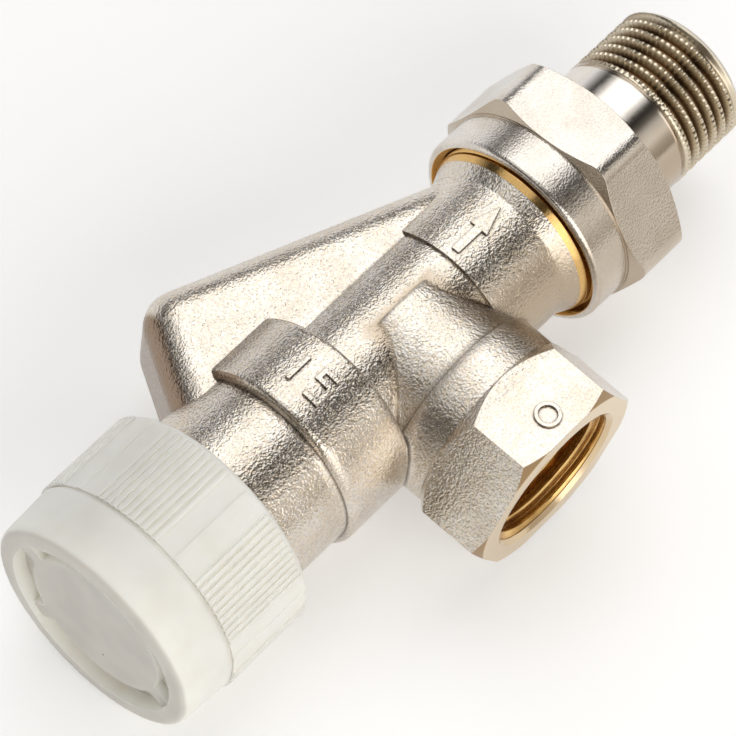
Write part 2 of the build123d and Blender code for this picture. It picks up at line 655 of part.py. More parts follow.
with BuildPart() as protective_cap:
    skirt_front_radius = CAP_BAND_RADIUS - cap_groove_depth
    cap_outline = [
        (cap_roof_front, 0, 0),
        (cap_roof_front, CAP_DISC_RADIUS, 0),
        (cap_moat_floor, CAP_DISC_RADIUS, 0),
        (cap_moat_floor, CAP_MOAT_RADIUS, 0),
        (cap_front, CAP_MOAT_RADIUS, 0),
        (cap_front, CAP_FRONT_RADIUS, cap_front_rounding),
        (cap_band_rear, CAP_BAND_RADIUS, 0),
        (cap_band_rear, skirt_front_radius, 0),
        (rib_front, skirt_front_radius, 0),
        (rib_front, CAP_SKIRT_RADIUS, 0),
        (cap_rear, CAP_SKIRT_RADIUS, cap_rear_rounding),
        (cap_rear, cap_bore_radius, 0),
        (cap_moat_floor + CAP_ROOF, cap_bore_radius, 0),
        (cap_moat_floor + CAP_ROOF, cap_pocket_radius, 0),
        (pin_tip, cap_pocket_radius, 0),
        (pin_tip, 0, 0),
    ]
    revolve(half_section(MAIN_PLANE, cap_outline), MAIN_AXIS)
    with BuildSketch(cross_plane(cap_roof_front)):
        for tab_angle in CAP_TAB_ANGLES:
            with PolarLocations((CAP_DISC_RADIUS + CAP_MOAT_RADIUS) / 2, 1, tab_angle):
                Rectangle(CAP_MOAT_RADIUS - CAP_DISC_RADIUS + CAP_ROOF, CAP_TAB_WIDTH)
    extrude(amount=CAP_MOAT_DEPTH)
    with BuildSketch(cross_plane(rib_front)):
        for rib_angle in rib_angles:
            with PolarLocations(CAP_SKIRT_RADIUS, 1, rib_angle):
                Rectangle(2 * RIB_HEIGHT, RIB_WIDTH)
        for panel_angle in panel_angles:
            with PolarLocations(CAP_SKIRT_RADIUS, 1, panel_angle):
                Rectangle(2 * PANEL_RIDGE_HEIGHT, PANEL_RIDGE_WIDTH)
    extrude(amount=rib_length)

# Union nut: a hexagon with turned corners and a round collar over the body's thread
with BuildPart() as union_nut:
    with BuildSketch(cross_plane(nut_hex_front)):
        hexagon = RegularPolygon(NUT_ACROSS_FLATS / 2, 6, major_radius=False, rotation=NUT_TURN_ANGLE)
        fillet(hexagon.vertices(), NUT_CORNER_ROUNDING)
    extrude(amount=NUT_HEX_LENGTH)
    nut_flat = NUT_ACROSS_FLATS / 2
    nut_corner = hexagon_corner(NUT_ACROSS_FLATS)
    nut_chamfer = (nut_corner - nut_flat) * hex_chamfer_slope
    nut_turning = [
        (nut_hex_front, 0, 0),
        (nut_hex_front, nut_flat, 0),
        (nut_hex_front + nut_chamfer, nut_corner, 0),
        (nut_rear - nut_chamfer, nut_corner, 0),
        (nut_rear, nut_flat, 0),
        (nut_rear, 0, 0),
    ]
    revolve(half_section(MAIN_PLANE, nut_turning), MAIN_AXIS, mode=Mode.INTERSECT)
    collar_outline = [
        (nut_front, 0, 0),
        (nut_front, nut_collar_radius, FORGED_ROUNDING),
        (nut_hex_front, nut_collar_radius, 0),
        (nut_hex_front, 0, 0),
    ]
    revolve(half_section(MAIN_PLANE, collar_outline), MAIN_AXIS)
    nut_bore = [
        (nut_front, 0, 0),
        (nut_front, nut_mouth_radius, 0),
        (nut_front + NUT_MOUTH_DEPTH, union_bore_radius, 0),
        (nut_shoulder, union_bore_radius, 0),
        (nut_shoulder, tail_bore_in_nut, 0),
        (nut_rear, tail_bore_in_nut, 0),
        (nut_rear, 0, 0),
    ]
    revolve(half_section(MAIN_PLANE, nut_bore), MAIN_AXIS, mode=Mode.SUBTRACT)

with BuildPart() as tail_gasket:
    revolve(tube_section(MAIN_PLANE, union_end, tail_front, GASKET_BORE_RADIUS, tail_flange_radius), MAIN_AXIS)

# Tailpiece: a flange held by the nut, a plain shank and the radiator thread
with BuildPart() as tailpiece:
    tail_outline = [
        (tail_front, WATERWAY_RADIUS, 0),
        (tail_front, tail_flange_radius, 0),
        (nut_shoulder, tail_flange_radius, 0),
        (nut_shoulder, TAIL_SHANK_RADIUS, 0),
        (tail_groove_front, TAIL_SHANK_RADIUS, 0),
        (tail_groove_front, pipe_thread_radius - TAIL_GROOVE_DEPTH, 0),
        (tail_thread_front, pipe_thread_radius - TAIL_GROOVE_DEPTH, 0),
        (tail_thread_front, pipe_thread_radius, 0),
        (tail_end - THREAD_CHAMFER, pipe_thread_radius, 0),
        (tail_end, pipe_thread_radius - THREAD_CHAMFER, 0),
        (tail_end, WATERWAY_RADIUS, 0),
    ]
    revolve(half_section(MAIN_PLANE, tail_outline), MAIN_AXIS)

os.makedirs("parts", exist_ok=True)
pieces = {
    "valve_body": valve_body,
    "insert_housing": insert_housing,
    "insert_o_ring": insert_o_ring,
    "gland_nut": gland_nut,
    "gland_washer": gland_washer,
    "gland_o_ring": gland_o_ring,
    "guide_bush": guide_bush,
    "pressure_pin": pressure_pin,
    "spindle": spindle,
    "spindle_clip": spindle_clip,
    "spring_washer": spring_washer,
    "return_spring": return_spring,
    "disc_carrier": disc_carrier,
    "seal_disc": seal_disc,
    "disc_nut": disc_nut,
    "protective_cap": protective_cap,
    "union_nut": union_nut,
    "tail_gasket": tail_gasket,
    "tailpiece": tailpiece,
}
for name, piece in pieces.items():
    piece.part.label = name
    export_step(piece.part, f"parts/{name}.step")
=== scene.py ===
import math

import bmesh
import bpy
from mathutils import Matrix, Vector


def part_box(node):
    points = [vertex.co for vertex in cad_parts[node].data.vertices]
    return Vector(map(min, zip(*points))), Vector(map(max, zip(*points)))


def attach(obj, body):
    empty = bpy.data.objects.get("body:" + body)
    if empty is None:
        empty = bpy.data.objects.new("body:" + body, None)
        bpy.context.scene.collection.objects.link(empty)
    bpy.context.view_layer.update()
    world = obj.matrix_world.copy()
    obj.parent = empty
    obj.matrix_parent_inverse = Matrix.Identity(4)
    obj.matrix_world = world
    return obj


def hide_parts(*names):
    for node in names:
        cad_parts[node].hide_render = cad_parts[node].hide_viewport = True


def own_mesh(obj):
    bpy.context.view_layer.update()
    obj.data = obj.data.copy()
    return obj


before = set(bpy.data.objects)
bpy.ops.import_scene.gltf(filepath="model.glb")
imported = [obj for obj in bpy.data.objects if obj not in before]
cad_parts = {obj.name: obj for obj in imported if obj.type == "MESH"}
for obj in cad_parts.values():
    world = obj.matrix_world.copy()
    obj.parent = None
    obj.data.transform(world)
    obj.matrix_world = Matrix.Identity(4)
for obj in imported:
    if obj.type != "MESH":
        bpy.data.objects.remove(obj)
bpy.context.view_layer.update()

MM = 0.001
FULL_TURN = 2 * math.pi


# Shader maths
class Value:
    """One output in a node tree; arithmetic on it adds Math nodes to that tree."""

    def __init__(self, owner, socket):
        self.owner = owner
        self.socket = socket

    def math(self, operation, *terms):
        return self.owner.node("ShaderNodeMath", {"operation": operation}, dict(enumerate(terms)))

    def __add__(self, other):
        return self.math("ADD", self, other)

    def __radd__(self, other):
        return self.math("ADD", other, self)

    def __sub__(self, other):
        return self.math("SUBTRACT", self, other)

    def __rsub__(self, other):
        return self.math("SUBTRACT", other, self)

    def __mul__(self, other):
        return self.math("MULTIPLY", self, other)

    def __rmul__(self, other):
        return self.math("MULTIPLY", other, self)

    def __truediv__(self, other):
        return self.math("DIVIDE", self, other)

    def __gt__(self, other):
        return self.math("GREATER_THAN", self, other)

    def __lt__(self, other):
        return self.math("LESS_THAN", self, other)

    def __pow__(self, other):
        return self.math("POWER", self, other)


class NodeTree:
    """Adds nodes to a tree, each with its settings and then its sockets."""

    def __init__(self, tree):
        self.tree = tree

    def node(self, kind, settings=None, sockets=None, output=0):
        added = self.tree.nodes.new(kind)
        for name, setting in (settings or {}).items():
            if name == "stops":
                self.set_stops(added.color_ramp, setting)
            else:
                setattr(added, name, setting)
        for name, value in (sockets or {}).items():
            self.feed(added.inputs[name], value)
        return Value(self, added.outputs[output])

    def feed(self, socket, value):
        if isinstance(value, Value):
            self.tree.links.new(value.socket, socket)
        elif hasattr(value, "__len__") and socket.type == "RGBA":
            socket.default_value = (*value, 1)
        else:
            socket.default_value = value

    def set_stops(self, ramp, stops):
        while len(ramp.elements) < len(stops):
            ramp.elements.new(0.5)
        for element, (place, colour) in zip(ramp.elements, stops):
            element.position = place
            element.color = (*colour, 1)

    def ramp(self, value, low, high):
        """0 below low, 1 above high, smooth between."""
        sockets = {"Value": value, "From Min": low, "From Max": high}
        return self.node("ShaderNodeMapRange", {"interpolation_type": "SMOOTHSTEP"}, sockets)

    def mix(self, factor, first, second):
        return self.node("ShaderNodeMix", {"data_type": "RGBA"}, {0: factor, 6: first, 7: second}, 2)

    def blend(self, factor, first, second):
        return self.node("ShaderNodeMix", {"data_type": "VECTOR"}, {0: factor, 4: first, 5: second}, 1)


class Finish(NodeTree):
    """A material of one of the valve's surfaces, made from nodes."""

    def __init__(self, name):
        self.material = bpy.data.materials.new(name)
        self.material.use_nodes = True
        super().__init__(self.material.node_tree)
        self.shader = self.tree.nodes["Principled BSDF"]
        self.millimetres = None

    def set(self, **sockets):
        for name, value in sockets.items():
            self.feed(self.shader.inputs[name.replace("_", " ").title()], value)

    def place(self):
        """Object coordinates, in millimetres."""
        if self.millimetres is None:
            metres = self.node("ShaderNodeTexCoord", output="Object")
            self.millimetres = self.node(
                "ShaderNodeVectorMath", {"operation": "SCALE"}, {0: metres, "Scale": 1 / MM}
            )
        return self.millimetres

    def along(self, axis):
        return self.node("ShaderNodeSeparateXYZ", None, {0: self.place()}, "XYZ".index(axis))

    def facing(self, axis):
        """How far the surface faces along an axis of the object, from -1 to 1."""
        normal = self.node("ShaderNodeTexCoord", output="Normal")
        return self.node("ShaderNodeSeparateXYZ", None, {0: normal}, "XYZ".index(axis))

    def stretched(self, scales):
        return self.node("ShaderNodeVectorMath", {"operation": "MULTIPLY"}, {0: self.place(), 1: scales})

    def noise(self, size, detail, where=None):
        """Noise whose grains are about that many millimetres across."""
        sockets = {"Vector": where or self.place(), "Scale": 1 / size, "Detail": detail}
        return self.node("ShaderNodeTexNoise", {"noise_dimensions": "3D"}, sockets)

    def specks(self, size, share):
        """1 on round specks about that many millimetres apart, 0 elsewhere."""
        sockets = {"Vector": self.place(), "Scale": 1 / size}
        return self.node("ShaderNodeTexVoronoi", {"feature": "F1"}, sockets) < share

    def grit(self, size):
        """1 in the dark pits of a blasted surface, 0 on its bright tops."""
        return 1 - self.ramp(self.noise(size, 1.5), 0.36, 0.56)

    def bump(self, height, depth, under=None):
        """A normal from a height map that is depth millimetres deep."""
        sockets = {"Height": height, "Strength": 1.0, "Distance": depth * MM}
        if under is not None:
            sockets["Normal"] = under
        return self.node("ShaderNodeBump", None, sockets)

    def eased(self, radius):
        """The normal with every edge eased to that radius in millimetres."""
        return self.node("ShaderNodeBevel", {"samples": 6}, {"Radius": radius * MM})

    def flank(self):
        """1 on the flank towards the pipe, 0 on the top and the other side; painted shade is laid there.
        """
        return self.ramp(0 - self.facing("Y"), 0.25, 0.95)

    def crease_shade(self, reach):
        """1 in the foot of a step that is about that many millimetres high, 0 in the open; painted shade
        is laid there.
        """
        open_share = self.node(
            "ShaderNodeAmbientOcclusion", {"samples": 8, "only_local": True}, {"Distance": reach * MM}, 1
        )
        return 1 - self.ramp(open_share, 0.45, 0.95)

    def screw(self, pitch):
        """Height of a screw thread on the main axis, from 0 in the root to 1 on the crest."""
        aside = self.along("Y") - AXIS_Y
        turn = aside.math("ARCTAN2", self.along("Z"), aside) / FULL_TURN
        phase = self.along("X") / pitch - turn
        return phase.math("PINGPONG", phase, 0.5) * 2

    def from_axis(self, first, second, first_centre=0.0):
        """Distance in millimetres from a line along the axis that isn't named."""
        across = self.along(first) - first_centre
        up = self.along(second)
        return (across * across + up * up) ** 0.5


# Sizes of the pieces, in millimetres, and first those that the frame gives
body_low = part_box("valve_body")[0] / MM
tail_low, tail_high = (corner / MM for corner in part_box("tailpiece"))
nut_low, nut_high = (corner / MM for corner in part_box("union_nut"))
cap_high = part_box("protective_cap")[1] / MM
spring_low, spring_high = (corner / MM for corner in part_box("return_spring"))
AXIS_Y = (tail_low.y + tail_high.y) / 2
SOCKET_END = body_low.y

# Threads, and how far below the crest their painted shade runs
PIPE_PITCH = 1.814
PIPE_THREAD_RADIUS = 10.4775
PIPE_THREAD_DEPTH = 1.162
HEAD_PITCH = 1.5
HEAD_THREAD_SETBACK = 4.2
SCREWED_RADIUS = PIPE_THREAD_RADIUS + 2.0
THREAD_STEPS = 14
THREAD_CREST_SHARE = 0.26
THREAD_ROOT_SHARE = 0.2
CREST_TONE_DEPTH = 0.15
SOCKET_TONE_DEPTH = 0.5

# Tailpiece
TAIL_FLANGE_THICKNESS = 2.4
TAIL_FLANGE_RADIUS = (tail_high.z - tail_low.z) / 2
TAIL_SHANK_RADIUS = 10.4
TAIL_THREAD_LENGTH = 12.25
TAIL_GROOVE_WIDTH = 0.7
TAIL_GROOVE_RADIUS = 9.98
TAIL_BORE_RADIUS = 7.0
TAIL_BORE_CHAMFER = 0.5
TAIL_BRASS_RADIUS = TAIL_BORE_RADIUS + 0.4
TAIL_GROOVE_SLOPE = 0.1
TAIL_END_CHAMFER = 1.0
TAIL_END_BREAK = 0.25
TAIL_END_DROP = 0.65
TAIL_SHANK_STEPS = 8
THREAD_FADE = 1.2
THREAD_NOTCHES = 69
THREAD_NOTCH_DEPTH = 0.24
TAIL_COLUMNS = 552

# Pipe socket
SOCKET_THREAD_LENGTH = 12.4
SOCKET_HEX_LENGTH = 9.3
SOCKET_CORNER_RADIUS = 14.1
SOCKET_COLUMNS = 192
SOCKET_THREAD_SKIN = 0.06
SOCKET_THREAD_MARGIN = 0.1
SOCKET_END_CUT = 3.0
SOCKET_BORE_END = 16.0
SOCKET_BORE_WALL = 0.9

# Pipe boss on the waist, its soft saddle, and the valley beside it where painted shade is laid
BOSS_RADIUS = 12.3
BOSS_SPAN = 8.5
WAIST_RADIUS = 11.3
VALLEY_WIDTH = 1.6
SADDLE_FOOT = (11.5, 13.0)
SADDLE_TOP = (19.0, 21.0)
LOBE_END_RUN = (AXIS_Y + 4.0, AXIS_Y + 8.0)
SHADED_FLANK_RUN = (-14.0, 10.0)

# Roundings that the shading gives to edges
CRISP_EDGE = 0.12
BOSS_EDGE = 0.7
SADDLE_EDGE = 2.2

# Grain of the plate, and the slack round a surface when a place on it is tested
GRAIN_SIZE = 0.3
GRAIN_DEPTH = 0.1
DENT_SIZE = 0.55
CLOUD_SIZE = 5.0
CREASE_REACH = 0.7
NUT_GRAIN_SIZE = 0.28
NUT_GRAIN_DEPTH = 0.045
NUT_PIT_SIZE = 0.26
NUT_CLOUD_SIZE = 6.0
SURFACE_SLACK = 0.3

# Union nut, and the station where the body is cut bare for its thread
NUT_BRASS_RADIUS = 14.2
NUT_COLLAR_RADIUS = 15.15
UNION_CUT = nut_low.x - 0.95

# Cap: how deep light goes into the plastic, and each colour's share of that depth
CAP_GLOW_DEPTH = 2.0
CAP_GLOW_REACH = (1.0, 0.96, 0.9)

# Return spring
SPRING_WIRE = 0.8
SPRING_TURNS = 4.5
SPRING_STEPS = 40
SPRING_SIDES = 12

# Meshes, in metres and radians
WELD_DISTANCE = 2e-7
SLIVER_LENGTH = 1e-7
SHARP_ANGLE = math.radians(28)


# Pieces with turns
def tooth(phase):
    """Depth of a pipe thread below its crest, from 0 to 1, over one pitch."""
    phase = phase % 1.0
    flank = (1 - THREAD_CREST_SHARE - THREAD_ROOT_SHARE) / 2
    if phase < THREAD_CREST_SHARE:
        return 0.0
    if phase < THREAD_CREST_SHARE + flank:
        return (phase - THREAD_CREST_SHARE) / flank
    if phase < THREAD_CREST_SHARE + flank + THREAD_ROOT_SHARE:
        return 1.0
    return (1 - phase) / flank


def fade(place, start, end):
    """Thread depth's share at a place: none at the thread's ends, all between."""
    return max(0.0, min(1.0, (place - start) / THREAD_FADE, (end - place) / THREAD_FADE))


def thread_rings(start, end, crest, columns, notched):
    """Rings of (station, radius), one pair per column, that follow a helix between two stations."""
    rings = []
    turns = math.ceil((end - start) / PIPE_PITCH) + 1
    for step in range(-THREAD_STEPS, turns * THREAD_STEPS + 1):
        ring = []
        for column in range(columns):
            turn = column / columns
            place = start + PIPE_PITCH * (step / THREAD_STEPS + turn)
            place = max(start, min(end, place))
            depth = tooth(step / THREAD_STEPS)
            shrink = PIPE_THREAD_DEPTH * depth
            if notched:
                wave = 0.5 - 0.5 * math.cos(FULL_TURN * THREAD_NOTCHES * turn)
                shrink += THREAD_NOTCH_DEPTH * (1 - depth) * wave ** 3
            ring.append((place, crest - shrink * fade(place, start, end)))
        rings.append(ring)
    return rings


def plain_ring(station, radius, columns):
    """A ring that doesn't follow the helix."""
    return [(station, radius)] * columns


def turned_mesh(name, rings, helix_first, helix_last, to_point):
    """A closed mesh over rings of (station, radius).

    The rings from helix_first to helix_last climb one pitch in each turn.
    """
    columns = len(rings[0])
    mesh = bmesh.new()
    points = []
    for ring in rings:
        row = []
        for column, (station, radius) in enumerate(ring):
            row.append(mesh.verts.new(to_point(station, radius, FULL_TURN * column / columns)))
        points.append(row)
    count = len(rings)
    for index in range(count):
        following = (index + 1) % count
        for column in range(columns):
            after = column + 1
            lift = 0
            if after == columns:
                after = 0
                if helix_first <= index < helix_last:
                    lift = THREAD_STEPS
            near = min(index + lift, helix_last) if lift else index
            far = min(following + lift, helix_last) if lift else following
            corners = [
                points[index][column],
                points[following][column],
                points[far][after],
                points[near][after],
            ]
            if len(set(corners)) == len(corners):
                mesh.faces.new(corners)
    bmesh.ops.remove_doubles(mesh, verts=mesh.verts, dist=WELD_DISTANCE)
    bmesh.ops.dissolve_degenerate(mesh, edges=mesh.edges, dist=SLIVER_LENGTH)
    bmesh.ops.recalc_face_normals(mesh, faces=mesh.faces)
    data = bpy.data.meshes.new(name)
    mesh.to_mesh(data)
    mesh.free()
    data.shade_smooth()
    data.set_sharp_from_angle(angle=SHARP_ANGLE)
    piece = bpy.data.objects.new(name, data)
    bpy.context.scene.collection.objects.link(piece)
    return piece


def on_main_axis(station, radius, angle):
    return Vector((station, AXIS_Y + radius * math.cos(angle), radius * math.sin(angle))) * MM


def on_socket_axis(station, radius, angle):
    return Vector((radius * math.sin(angle), station, radius * math.cos(angle))) * MM


def make_tailpiece():
    """The radiator tail, with its thread cut and the crests notched for the sealing hemp."""
    thread_start = tail_high.x - TAIL_THREAD_LENGTH
    thread_end = tail_high.x - TAIL_END_CHAMFER
    flange_rear = tail_low.x + TAIL_FLANGE_THICKNESS
    groove_start = thread_start - TAIL_GROOVE_WIDTH
    columns = TAIL_COLUMNS
    rings = [
        plain_ring(tail_low.x, TAIL_BORE_RADIUS, columns),
        plain_ring(tail_low.x, TAIL_FLANGE_RADIUS, columns),
        plain_ring(flange_rear, TAIL_FLANGE_RADIUS, columns),
    ]
    for step in range(TAIL_SHANK_STEPS + 1):
        station = flange_rear + (groove_start - flange_rear) * step / TAIL_SHANK_STEPS
        rings.append(plain_ring(station, TAIL_SHANK_RADIUS, columns))
    rings.append(plain_ring(groove_start + TAIL_GROOVE_SLOPE, TAIL_GROOVE_RADIUS, columns))
    rings.append(plain_ring(thread_start - TAIL_GROOVE_SLOPE, TAIL_GROOVE_RADIUS, columns))
    helix_first = len(rings)
    rings += thread_rings(thread_start, thread_end, PIPE_THREAD_RADIUS, columns, notched=True)
    helix_last = len(rings) - 1
    rings.append(plain_ring(tail_high.x - TAIL_END_BREAK, PIPE_THREAD_RADIUS - TAIL_END_DROP, columns))
    rings.append(plain_ring(tail_high.x, PIPE_THREAD_RADIUS - TAIL_END_CHAMFER, columns))
    rings.append(plain_ring(tail_high.x, TAIL_BORE_RADIUS + TAIL_BORE_CHAMFER, columns))
    rings.append(plain_ring(tail_high.x - TAIL_BORE_CHAMFER, TAIL_BORE_RADIUS, columns))
    piece = turned_mesh("tailpiece_turned", rings, helix_first, helix_last, on_main_axis)
    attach(piece, "tail")
    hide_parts("tailpiece")
    return piece


def make_socket_thread():
    """The turns of the pipe thread on the socket's wall."""
    start = SOCKET_THREAD_MARGIN
    end = SOCKET_THREAD_LENGTH - SOCKET_THREAD_MARGIN
    columns = SOCKET_COLUMNS
    wall = PIPE_THREAD_RADIUS - SOCKET_THREAD_SKIN / 2
    rings = [plain_ring(end, wall, columns), plain_ring(start, wall, columns)]
    helix_first = len(rings)
    rings += thread_rings(start, end, wall - SOCKET_THREAD_SKIN, columns, notched=False)
    helix_last = len(rings) - 1
    piece = turned_mesh("socket_thread", rings, helix_first, helix_last, on_socket_axis)
    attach(piece, "valve")
    return piece


def make_return_spring():
    """The coil that opens the valve, drawn at the length of the spring part; the spindle going in would
    shorten it.
    """
    radius = (spring_high.z - spring_low.z) / 2 - SPRING_WIRE / 2
    start = spring_low.x + SPRING_WIRE / 2
    height = spring_high.x - spring_low.x - SPRING_WIRE
    steps = round(SPRING_TURNS * SPRING_STEPS)
    mesh = bmesh.new()
    sections = []
    for step in range(steps + 1):
        angle = FULL_TURN * step / SPRING_STEPS
        station = start + height * step / steps
        section = []
        for side in range(SPRING_SIDES):
            turn = FULL_TURN * side / SPRING_SIDES
            reach = radius + SPRING_WIRE / 2 * math.cos(turn)
            place = station + SPRING_WIRE / 2 * math.sin(turn)
            section.append(mesh.verts.new(on_main_axis(place, reach, angle)))
        sections.append(section)
    for near, far in zip(sections, sections[1:]):
        for side in range(SPRING_SIDES):
            after = (side + 1) % SPRING_SIDES
            mesh.faces.new((near[side], far[side], far[after], near[after]))
    mesh.faces.new(sections[0])
    mesh.faces.new(sections[-1])
    bmesh.ops.recalc_face_normals(mesh, faces=mesh.faces)
    data = bpy.data.meshes.new("return_spring_coil")
    mesh.to_mesh(data)
    mesh.free()
    data.shade_smooth()
    piece = bpy.data.objects.new("return_spring_coil", data)
    bpy.context.scene.collection.objects.link(piece)
    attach(piece, "valve")
    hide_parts("return_spring")
    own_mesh(piece)
    return piece


# Colours of the finishes
NICKEL = (0.76, 0.715, 0.66)
NICKEL_SHADE = (0.66, 0.60, 0.53)
NICKEL_WARM = (0.72, 0.60, 0.44)
NICKEL_GRIT = (0.24, 0.21, 0.175)
# Painted shade and painted reflection in one dark brown: on the flank towards the pipe, in the valley
# beside the boss and on the nut's corner cuts
NICKEL_PAINTED_SHADE = (0.44, 0.35, 0.25)
BRASS = (0.80, 0.53, 0.21)
BRASS_DEEP = (0.52, 0.31, 0.11)
BRASS_PALE = (0.70, 0.59, 0.43)
# Painted reflection on the socket's corner cuts
BRASS_PAINTED_REFLECTION = (0.26, 0.15, 0.06)
# Painted shade in the feet of steps, marks and numerals
CREASE_PAINTED_SHADE = (0.10, 0.07, 0.045)
# Painted reflection of the shadowed floor on the lobe's end
LOBE_PAINTED_REFLECTION = (0.22, 0.14, 0.085)
THREAD_KHAKI = (0.66, 0.58, 0.45)
# Painted shade in the roots and on the far side of the tail's thread
THREAD_PAINTED_SHADE = (0.16, 0.10, 0.05)
CAP_WHITE = (0.95, 0.93, 0.86)
# Random tone on the cap, and painted shade on its front
CAP_SHADE = (0.66, 0.635, 0.585)
CAP_SPECK = (0.25, 0.23, 0.20)
STEEL = (0.62, 0.61, 0.59)
STEEL_SHADE = (0.48, 0.47, 0.46)
RUBBER_BLACK = (0.015, 0.015, 0.016)
RUBBER_BLOOM = (0.05, 0.05, 0.052)


def forged_nickel():
    """Shot-blasted nickel plate on the forging, bare brass where the socket was machined, painted shade
    on the flank towards the pipe, in the creases and in the valley beside the boss, and painted
    reflections on the lobe's end and the socket's corner cuts.
    """
    finish = Finish("forged_nickel")
    along_main = finish.along("X")
    along_pipe = finish.along("Y")
    grain = finish.noise(GRAIN_SIZE, 1.5)
    dents = finish.ramp(finish.noise(DENT_SIZE, 2.0), 0.34, 0.62)
    cloud = finish.ramp(finish.noise(CLOUD_SIZE, 3.0), 0.35, 0.7)
    plate = finish.mix(cloud, NICKEL, NICKEL_SHADE)
    plate = finish.mix(0.5 * (1 - dents), plate, NICKEL_WARM)
    plate = finish.mix(0.26 * finish.grit(GRAIN_SIZE), plate, NICKEL_GRIT)
    # Painted shade on the flank towards the pipe, strongest towards the union
    flank_shade_strength = 0.08 + 0.87 * finish.ramp(along_main, *SHADED_FLANK_RUN)
    plate = finish.mix(flank_shade_strength * finish.flank(), plate, NICKEL_PAINTED_SHADE)

    pipe_radius = finish.from_axis("X", "Z")
    main_radius = finish.from_axis("Y", "Z", AXIS_Y)
    # Painted shade in the valley beside the boss, on the waist before the lobe
    beside_boss = 1 - finish.ramp(pipe_radius, BOSS_RADIUS, BOSS_RADIUS + VALLEY_WIDTH)
    before_lobe = 1 - finish.ramp(along_pipe, AXIS_Y + SURFACE_SLACK, AXIS_Y + VALLEY_WIDTH)
    valley_shade = beside_boss * before_lobe * (main_radius < WAIST_RADIUS + SURFACE_SLACK)
    plate = finish.mix(0.75 * valley_shade, plate, NICKEL_PAINTED_SHADE)
    # Painted reflection: the lobe's end, which faces the cap, is laid dark brown
    lobe_end_reflection = finish.ramp(0 - finish.facing("X"), 0.4, 0.6) * finish.ramp(along_pipe, *LOBE_END_RUN)
    plate = finish.mix(0.85 * lobe_end_reflection, plate, LOBE_PAINTED_REFLECTION)
    # Painted shade in the creases at the feet of steps
    plate = finish.mix(0.85 * finish.crease_shade(CREASE_REACH), plate, CREASE_PAINTED_SHADE)

    end_cut = (finish.facing("Y") < -0.3) * (along_pipe < SOCKET_END + SOCKET_END_CUT)
    bore = (pipe_radius < PIPE_THREAD_RADIUS + SOCKET_BORE_WALL) * (along_pipe < SOCKET_BORE_END)
    union_end = along_main > UNION_CUT
    machined = 1 - (1 - end_cut) * (1 - bore) * (1 - union_end)
    lathe = finish.noise(0.35, 1.0, finish.stretched((1.0, 4.0, 1.0)))
    brass = finish.mix(lathe, BRASS, BRASS_DEEP)
    brass = finish.mix(0.7 * end_cut, brass, BRASS_PALE)
    # Painted reflection on the socket's corner cuts, laid brown
    corner_cut_reflection = end_cut * (pipe_radius > SOCKET_CORNER_RADIUS)
    brass = finish.mix(0.8 * corner_cut_reflection, brass, BRASS_PAINTED_REFLECTION)

    hexagon = along_pipe < SOCKET_END + SOCKET_HEX_LENGTH
    height = (grain * 0.75 + dents * 0.25) * (1 - machined * 0.9) * (1 - hexagon * 0.35)
    past_saddle = finish.ramp(along_pipe, *SADDLE_TOP)
    saddle = finish.ramp(along_pipe, *SADDLE_FOOT) * (1 - past_saddle)
    boss_zone = (along_main * along_main < BOSS_SPAN ** 2) * past_saddle
    eased = finish.blend(saddle, finish.eased(CRISP_EDGE), finish.eased(SADDLE_EDGE))
    eased = finish.blend(boss_zone, eased, finish.eased(BOSS_EDGE))
    union_turns = finish.screw(PIPE_PITCH) * (along_main > nut_low.x)
    head_turns = finish.screw(HEAD_PITCH) * (along_main < cap_high.x - HEAD_THREAD_SETBACK)
    turns = (union_turns + 0.7 * head_turns) * (main_radius > SCREWED_RADIUS)
    finish.set(
        base_color=finish.mix(machined, plate, brass),
        metallic=1.0,
        roughness=0.12 + 0.1 * grain,
        normal=finish.bump(height, GRAIN_DEPTH, finish.bump(turns, PIPE_THREAD_DEPTH, eased)),
    )
    return finish


def satin_nickel_nut():
    """Satin nickel on the union nut, bare brass inside it, with painted shade on the flank towards the
    pipe and a painted reflection on the front corner cuts.
    """
    finish = Finish("satin_nickel_nut")
    grain = finish.noise(NUT_GRAIN_SIZE, 1.5)
    cloud = finish.ramp(finish.noise(NUT_CLOUD_SIZE, 2.0), 0.35, 0.7)
    plate = finish.mix(cloud, NICKEL, NICKEL_SHADE)
    plate = finish.mix(0.2 * finish.grit(NUT_PIT_SIZE), plate, NICKEL_GRIT)
    # Painted shade on the flank towards the pipe
    plate = finish.mix(0.6 * finish.flank(), plate, NICKEL_PAINTED_SHADE)
    radius = finish.from_axis("Y", "Z", AXIS_Y)
    # Painted reflection on the nut's front corner cuts, laid in the dark brown of the painted shade
    corner_cut_reflection = finish.ramp(0 - finish.facing("X"), 0.3, 0.5) * (radius > NUT_COLLAR_RADIUS)
    plate = finish.mix(0.7 * corner_cut_reflection, plate, NICKEL_PAINTED_SHADE)
    inside = (radius < NUT_BRASS_RADIUS) * (finish.along("X") < nut_high.x - SURFACE_SLACK)
    brass = finish.mix(grain, BRASS, BRASS_DEEP)
    finish.set(
        base_color=finish.mix(inside, plate, brass),
        metallic=1.0,
        roughness=0.15 + 0.12 * grain,
        normal=finish.bump(grain, NUT_GRAIN_DEPTH, finish.eased(CRISP_EDGE)),
    )
    return finish


